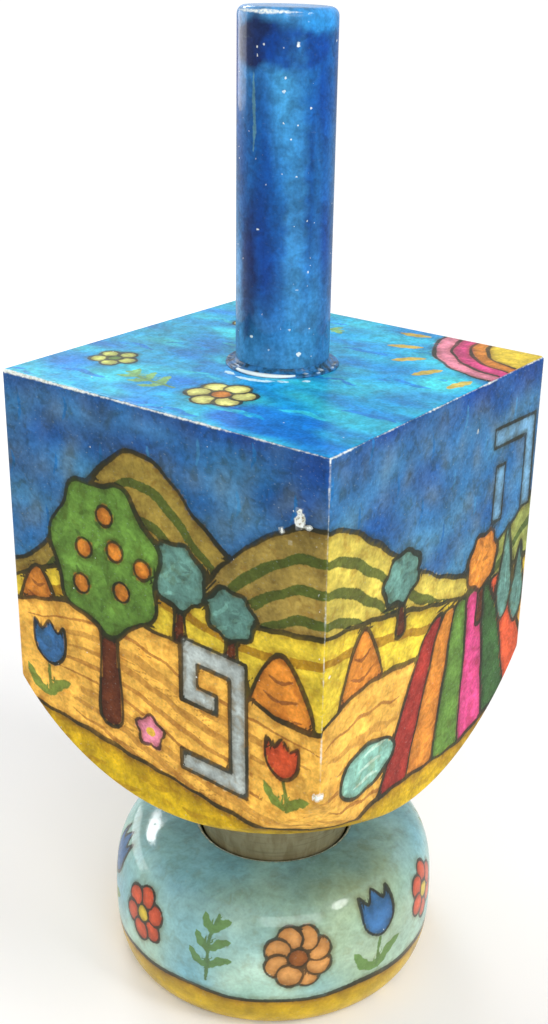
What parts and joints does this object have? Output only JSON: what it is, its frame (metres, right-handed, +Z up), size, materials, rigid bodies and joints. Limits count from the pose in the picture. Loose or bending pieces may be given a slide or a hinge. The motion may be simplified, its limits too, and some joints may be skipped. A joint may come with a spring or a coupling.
{
  "type": "dreidel",
  "caption": "Wooden dreidel with a dowel handle, square block, turned bottom and pointed tip, standing in the socket of a round turned stand.",
  "frame": {"origin": "centre of the stand's flat base, on the surface that it stands on", "axes": "+Z up along the dreidel's spin axis; the block's faces look along -Y, +X, +Y and -X, and the picture shows the -Y face on the left and the +X face on the right"},
  "size_m": [0.05, 0.05, 0.132],
  "materials": {
    "painted_block": "painted blue and yellow under clear gloss lacquer",
    "painted_handle": "mottled blue paint under clear gloss lacquer",
    "wood_glue": "dried wood glue",
    "clear_lacquer": "clear gloss bead with small bubbles",
    "bare_wood": "bare turned wood under thin lacquer",
    "painted_stand": "painted pale blue-green with a yellow foot under clear gloss lacquer"
  },
  "bodies": {
    "stand": {"stand": "painted_stand"},
    "lifting_core": {"handle_glue_film": "wood_glue", "tip_glue_film": "wood_glue"},
    "dreidel": {"block": "painted_block", "handle": "painted_handle", "glue_bead": "clear_lacquer", "spinning_tip": "bare_wood"}
  },
  "joints": [
    {"name": "dreidel_lift", "type": "slide", "parent": "stand", "child": "lifting_core", "axis": [0, 0, 1], "range_m": [0, 0.04]},
    {"name": "dreidel_spin", "type": "hinge", "parent": "lifting_core", "child": "dreidel", "pos_m": [0, 0, 0.0081], "axis": [0, 0, 1], "continuous": true}
  ]
}
